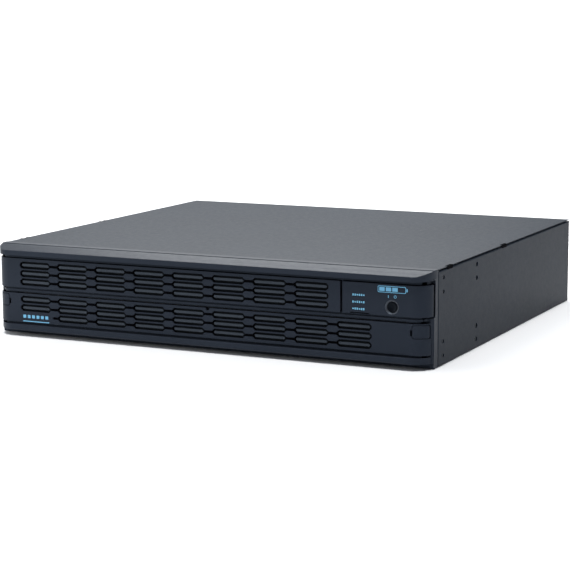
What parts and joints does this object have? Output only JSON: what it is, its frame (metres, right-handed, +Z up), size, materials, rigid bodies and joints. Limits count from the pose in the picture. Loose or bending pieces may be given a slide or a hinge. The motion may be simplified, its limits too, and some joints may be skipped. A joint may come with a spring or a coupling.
{
  "type": "uninterruptible power supply",
  "caption": "Two-unit rack power supply with a slotted front, wrapped moulded bezel, control panel, pull-off battery cover and a sliding battery tray behind it.",
  "frame": {"origin": "centre of the bounding box in plan, on the underside", "axes": "+X to the right seen from the front, +Y to the rear, +Z up"},
  "size_m": [0.44, 0.408, 0.086],
  "materials": {
    "chassis_coat": "fine satin powder coat, dark blue-grey",
    "zinc_steel": "zinc-plated sheet",
    "black_clip": "satin moulded",
    "bezel_plastic": "fine-grained moulded plastic, charcoal",
    "button_plastic": "smooth moulded plastic, near black",
    "status_lamp": "pale blue light pipe",
    "circuit_board": "solder mask over glass laminate",
    "black_plastic": "moulded, fine grain",
    "battery_wrap": "cells in blue shrink wrap",
    "brass_contact": "plain",
    "heat_sink_alloy": "extruded, plain",
    "capacitor_sleeve": "dark sleeve over an aluminium can",
    "core_steel": "varnished laminations",
    "coil_winding": "enamelled copper under varnish"
  },
  "bodies": {
    "chassis": {"chassis_tray": "chassis_coat", "top_cover": "chassis_coat", "front_bulkhead": "chassis_coat", "rear_panel": "chassis_coat", "option_slot_cover": "chassis_coat", "bay_floor": "zinc_steel", "bay_divider": "zinc_steel", "fan_guard_1": "zinc_steel", "fan_guard_2": "zinc_steel", "serial_port": "zinc_steel", "contact_port": "zinc_steel", "slot_screw_1": "zinc_steel", "slot_screw_2": "zinc_steel", "lid_clip_left_1": "black_clip", "lid_clip_right_1": "black_clip", "lid_clip_left_2": "black_clip", "lid_clip_right_2": "black_clip", "front_bezel": "bezel_plastic", "upper_grille": "bezel_plastic", "control_panel": "bezel_plastic", "status_window_1": "status_lamp", "status_window_2": "status_lamp", "status_window_3": "status_lamp", "display_board": "circuit_board", "main_board": "circuit_board", "panel_switch": "black_plastic", "battery_socket": "black_plastic", "fan_frame_1": "black_plastic", "fan_frame_2": "black_plastic", "ac_inlet": "black_plastic", "outlet_1": "black_plastic", "outlet_2": "black_plastic", "outlet_3": "black_plastic", "outlet_4": "black_plastic", "breaker_body": "black_plastic", "inlet_pin_line": "brass_contact", "inlet_pin_neutral": "brass_contact", "inlet_pin_earth": "brass_contact", "ground_screw": "brass_contact", "heat_sink": "heat_sink_alloy", "capacitor_1": "capacitor_sleeve", "capacitor_2": "capacitor_sleeve", "transformer_core": "core_steel", "transformer_coil": "coil_winding"},
    "battery_tray": {"battery_tray": "zinc_steel", "battery_pack_1": "battery_wrap", "battery_pack_2": "battery_wrap", "battery_pack_3": "battery_wrap", "battery_pack_4": "battery_wrap", "battery_pack_5": "battery_wrap", "battery_pack_6": "battery_wrap", "battery_plug": "black_plastic"},
    "battery_cover": {"battery_cover": "bezel_plastic"},
    "cover_latch_left": {"cover_latch_left": "bezel_plastic"},
    "cover_latch_right": {"cover_latch_right": "bezel_plastic"},
    "power_button": {"power_button": "button_plastic"},
    "fan_rotor_1": {"fan_rotor_1": "black_plastic"},
    "fan_rotor_2": {"fan_rotor_2": "black_plastic"},
    "breaker_button": {"breaker_button": "black_plastic"}
  },
  "joints": [
    {"name": "battery_tray_slide", "type": "slide", "parent": "chassis", "child": "battery_tray", "axis": [0, -1, 0], "range_m": [0, 0.27]},
    {"name": "battery_cover_pull", "type": "slide", "parent": "battery_tray", "child": "battery_cover", "axis": [0, -1, 0], "range_m": [0, 0.06]},
    {"name": "cover_latch_left_press", "type": "hinge", "parent": "battery_cover", "child": "cover_latch_left", "pos_m": [-0.2048, -0.1979, 0.0339], "axis": [0, 0, -1], "range_deg": [0, 5], "stiffness_Nm_per_rad": 0.15, "springref_deg": -1.15},
    {"name": "cover_latch_right_press", "type": "hinge", "parent": "battery_cover", "child": "cover_latch_right", "pos_m": [0.2048, -0.1979, 0.0339], "axis": [0, 0, 1], "range_deg": [0, 5], "stiffness_Nm_per_rad": 0.15, "springref_deg": -1.15},
    {"name": "power_button_press", "type": "slide", "parent": "chassis", "child": "power_button", "axis": [0, 1, 0], "range_m": [0, 0.0015], "stiffness_N_per_m": 1200, "springref_m": -0.0004},
    {"name": "fan_rotor_1_spin", "type": "hinge", "parent": "chassis", "child": "fan_rotor_1", "pos_m": [0.165, 0.187, 0.043], "axis": [0, 1, 0], "continuous": true},
    {"name": "fan_rotor_2_spin", "type": "hinge", "parent": "chassis", "child": "fan_rotor_2", "pos_m": [0.1, 0.187, 0.043], "axis": [0, 1, 0], "continuous": true},
    {"name": "breaker_button_press", "type": "slide", "parent": "chassis", "child": "breaker_button", "axis": [0, -1, 0], "range_m": [0, 0.002], "stiffness_N_per_m": 1500, "springref_m": -0.0004}
  ]
}
